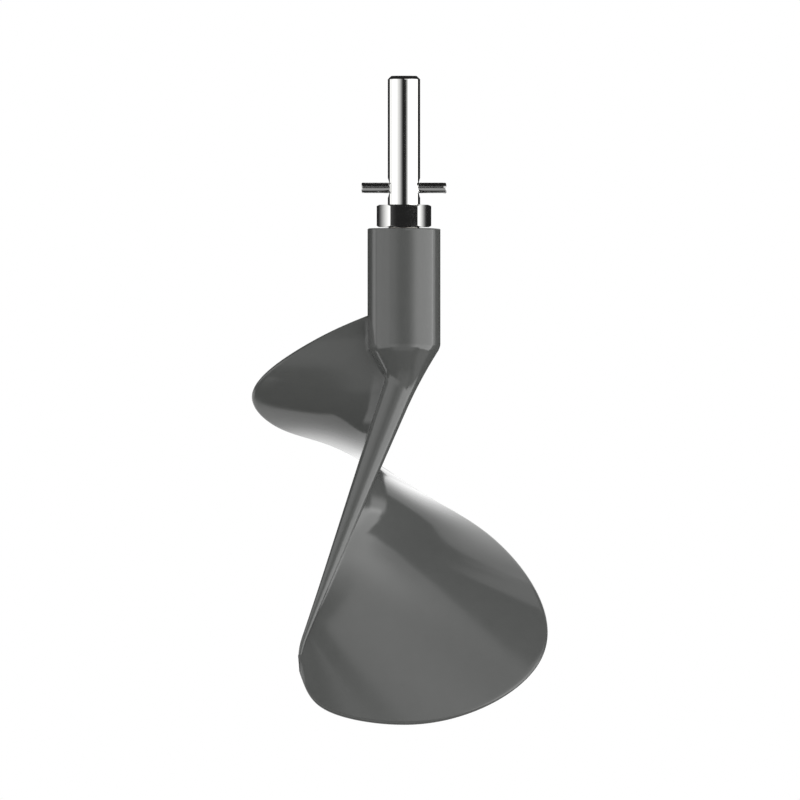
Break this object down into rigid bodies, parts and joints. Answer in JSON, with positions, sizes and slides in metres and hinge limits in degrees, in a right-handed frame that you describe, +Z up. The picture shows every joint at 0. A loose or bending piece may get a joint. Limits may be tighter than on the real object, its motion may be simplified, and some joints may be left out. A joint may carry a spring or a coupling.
{
  "type": "stand mixer folding tool",
  "caption": "Plastic blade, a thin sheet twisted half a turn round a slanted spine, on a steel shaft with a cross pin and a lock nut.",
  "frame": {"origin": "where the cross pin's axis crosses the shaft's axis", "axes": "+Z up the shaft, away from the blade, +X along the cross pin towards the blade's lower wing, +Y to the blade's back, so the tool turns about Z"},
  "size_m": [0.0919, 0.0589, 0.2005],
  "materials": {
    "polished_steel": "polished",
    "hardened_steel": "ground and polished",
    "nut_steel": "bright plated",
    "insert_metal": "turned",
    "blade_plastic": "glossy, moulded"
  },
  "bodies": {
    "root": {"drive_shaft": "polished_steel", "drive_pin": "hardened_steel", "lock_nut": "nut_steel", "threaded_insert": "insert_metal", "folding_blade": "blade_plastic"}
  },
  "joints": []
}
